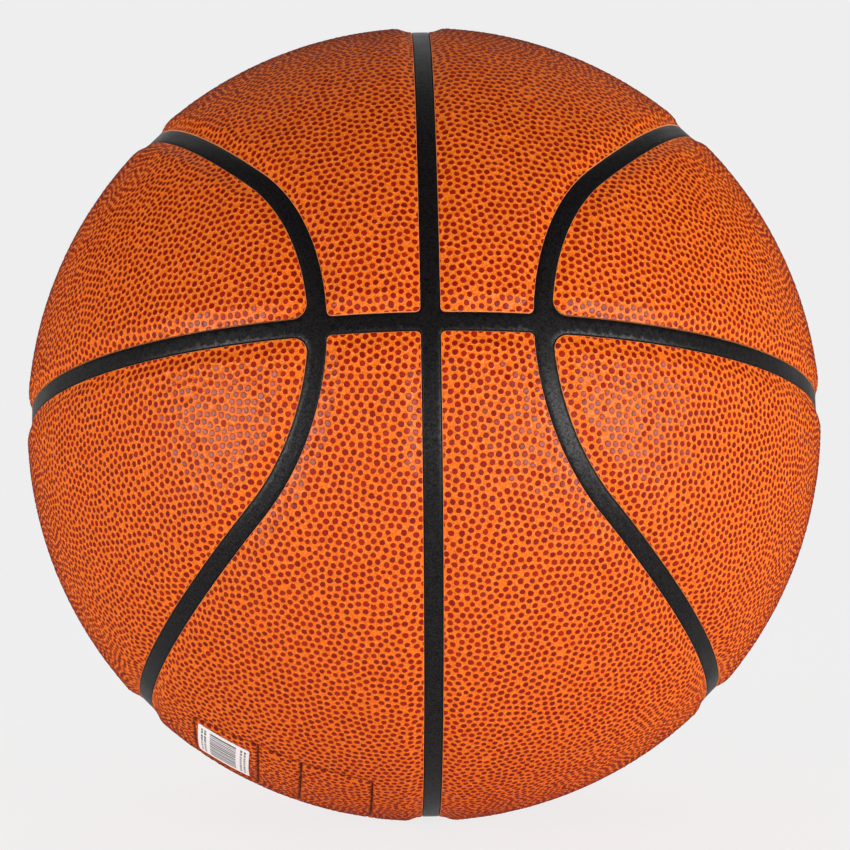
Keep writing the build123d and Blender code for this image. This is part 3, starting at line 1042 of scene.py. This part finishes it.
node_materials = {
    "bladder": bladder_rubber,
    "thread_winding": thread_material(),
}
foam = foam_material()
build_carcass(seam_rubber)
build_valve(valve_rubber, plug_rubber)
build_label(paper_material())
for number, (family, quarter) in enumerate((f, q) for f in ("center", "side") for q in QUARTERS):
    node_materials[f"{family}_pad_{quarter}"] = foam
    build_cover(family, quarter, 100 + number, cover)
for name, material in node_materials.items():
    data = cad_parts[name].data
    data.materials.clear()
    data.materials.append(material)


# Stage: a pale sweep of floor and backdrop, soft boxes left and right, an even pale world
def stage_material():
    """Pale paper that keeps a soft shadow, and looks the same behind the whole object."""
    nodes = Nodes("studio_sweep")
    near, far = 0.2, 0.75
    distance = nodes.add("ShaderNodeVectorMath", operation="LENGTH")
    nodes.link(nodes.add("ShaderNodeTexCoord").outputs["Object"], distance.inputs[0])
    away = nodes.map_range(distance.outputs["Value"], near, far, 0, 1)

    def paper(reflecting, glowing):
        """Paper with a level of diffuse reflection and of glow, each from near the ball to far off."""
        both = nodes.add("ShaderNodeAddShader")
        kinds = ("ShaderNodeBsdfDiffuse", "ShaderNodeEmission")
        for socket, kind, (level, far_level) in zip(both.inputs, kinds, (reflecting, glowing)):
            share = nodes.add(kind)
            grey = nodes.ramp(away, (0.0, (level,) * 3), (1.0, (far_level,) * 3))
            nodes.link(grey, share.inputs["Color"])
            nodes.link(share.outputs[0], socket)
        return both.outputs[0]

    lighting = paper((0.86, 0.86), (0.22, 0.22))
    seen = paper((0.14, 0.0), (0.79, 0.855))
    path = nodes.add("ShaderNodeLightPath").outputs
    direct = nodes.math("MAXIMUM", path["Is Camera Ray"], path["Is Glossy Ray"])
    direct = nodes.math("MAXIMUM", direct, path["Is Transmission Ray"])
    choice = nodes.add("ShaderNodeMixShader")
    for source, socket in zip((direct, lighting, seen), choice.inputs):
        nodes.link(source, socket)
    nodes.link(choice.outputs[0], nodes.output.inputs["Surface"])
    nodes.tree.nodes.remove(nodes.shader)
    return nodes.material


def build_sweep():
    """Round floor that curves up into a low wall all round."""
    floor = cad_box[0].z - 0.0002
    flat_radius, curve, wall_height, curve_steps, around = 2.2, 0.35, 0.85, 12, 96
    profile = [(0.6, floor), (flat_radius, floor)]
    for k in range(1, curve_steps + 1):
        turn = k / curve_steps * pi / 2
        profile.append((flat_radius + curve * sin(turn), floor + curve * (1 - cos(turn))))
    profile.append((flat_radius + curve, floor + wall_height))
    angles = [2 * pi * k / around for k in range(around)]
    verts = [(0.0, 0.0, floor)]
    for radius, height in profile:
        verts += [(radius * cos(angle), radius * sin(angle), height) for angle in angles]
    faces = [(0, 1 + k, 1 + (k + 1) % around) for k in range(around)]
    for ring in range(len(profile) - 1):
        low, high = 1 + ring * around, 1 + (ring + 1) * around
        faces += [
            (low + k, high + k, high + (k + 1) % around, low + (k + 1) % around) for k in range(around)
        ]
    mesh = bpy.data.meshes.new("studio_sweep")
    mesh.from_pydata(verts, [], faces)
    mesh.polygons.foreach_set("use_smooth", [True] * len(faces))
    mesh.materials.append(stage_material())
    sweep = bpy.data.objects.new("studio_sweep", mesh)
    bpy.context.scene.collection.objects.link(sweep)


def soft_box(name, direction, distance, width, height, power):
    """A rectangular lamp that faces the centre of the ball."""
    data = bpy.data.lights.new(name, "AREA")
    data.shape = "RECTANGLE"
    data.size, data.size_y = width, height
    data.energy = power
    lamp = bpy.data.objects.new(name, data)
    bpy.context.scene.collection.objects.link(lamp)
    place = Vector(direction).normalized() * distance
    lamp.location = place
    lamp.rotation_euler = place.to_track_quat("Z", "Y").to_euler()


# Lamps: direction from the ball, distance, width and height in metres, and power in watts
LAMPS = {
    "soft_box_left": ((-0.80, -0.60, 0.06), 1.1, 0.38, 0.38, 5.3),
    "soft_box_right": ((0.70, -0.70, 0.05), 1.1, 0.8, 0.32, 8.6),
    "front_card": ((0.1, -1.0, -0.02), 1.0, 1.0, 0.2, 0.8),
    "back_fill": ((0.0, 1.0, 0.9), 1.8, 2.0, 1.6, 10.0),
}
WORLD_STRENGTH = 0.18
build_sweep()
for name, lamp in LAMPS.items():
    soft_box(name, *lamp)

world = bpy.data.worlds.new("studio_world")
bpy.context.scene.world = world
world.use_nodes = True
sky = world.node_tree.nodes["Background"]
sky.inputs["Color"].default_value = (1, 1, 1, 1)
sky.inputs["Strength"].default_value = WORLD_STRENGTH

# Camera, as fitted to the photo: distance in metres, turns in degrees, lens in millimetres, and how far
# the centre of the ball is off the middle of the picture, in its pixels
CAMERA_DISTANCE = 0.7778
CAMERA_TURN_X, CAMERA_TURN_Z, CAMERA_TURN_Y = -13.122, 0.829, -0.972
CAMERA_LENS = 106.575
SENSOR_WIDTH = 36.0
PICTURE_WIDTH = 850
SHIFT_X, SHIFT_Y = 0.95, -0.52
camera_data = bpy.data.cameras.new("photo_camera")
camera_data.sensor_width = SENSOR_WIDTH
camera_data.lens = CAMERA_LENS
camera_data.shift_x = SHIFT_X / PICTURE_WIDTH
camera_data.shift_y = SHIFT_Y / PICTURE_WIDTH
camera = bpy.data.objects.new("photo_camera", camera_data)
bpy.context.scene.collection.objects.link(camera)
view = (
    Matrix.Rotation(radians(CAMERA_TURN_X), 3, "X")
    @ Matrix.Rotation(radians(CAMERA_TURN_Z), 3, "Z")
    @ Matrix.Rotation(radians(CAMERA_TURN_Y), 3, "Y")
    @ Matrix.Rotation(tilt, 3, "X")
)
to_world = view.transposed()
facing = Matrix((to_world.col[0], to_world.col[2], -to_world.col[1])).transposed()
camera.matrix_world = Matrix.Translation(to_world @ Vector((0, -CAMERA_DISTANCE, 0))) @ facing.to_4x4()
bpy.context.scene.camera = camera
bpy.context.scene.view_settings.view_transform = "Standard"
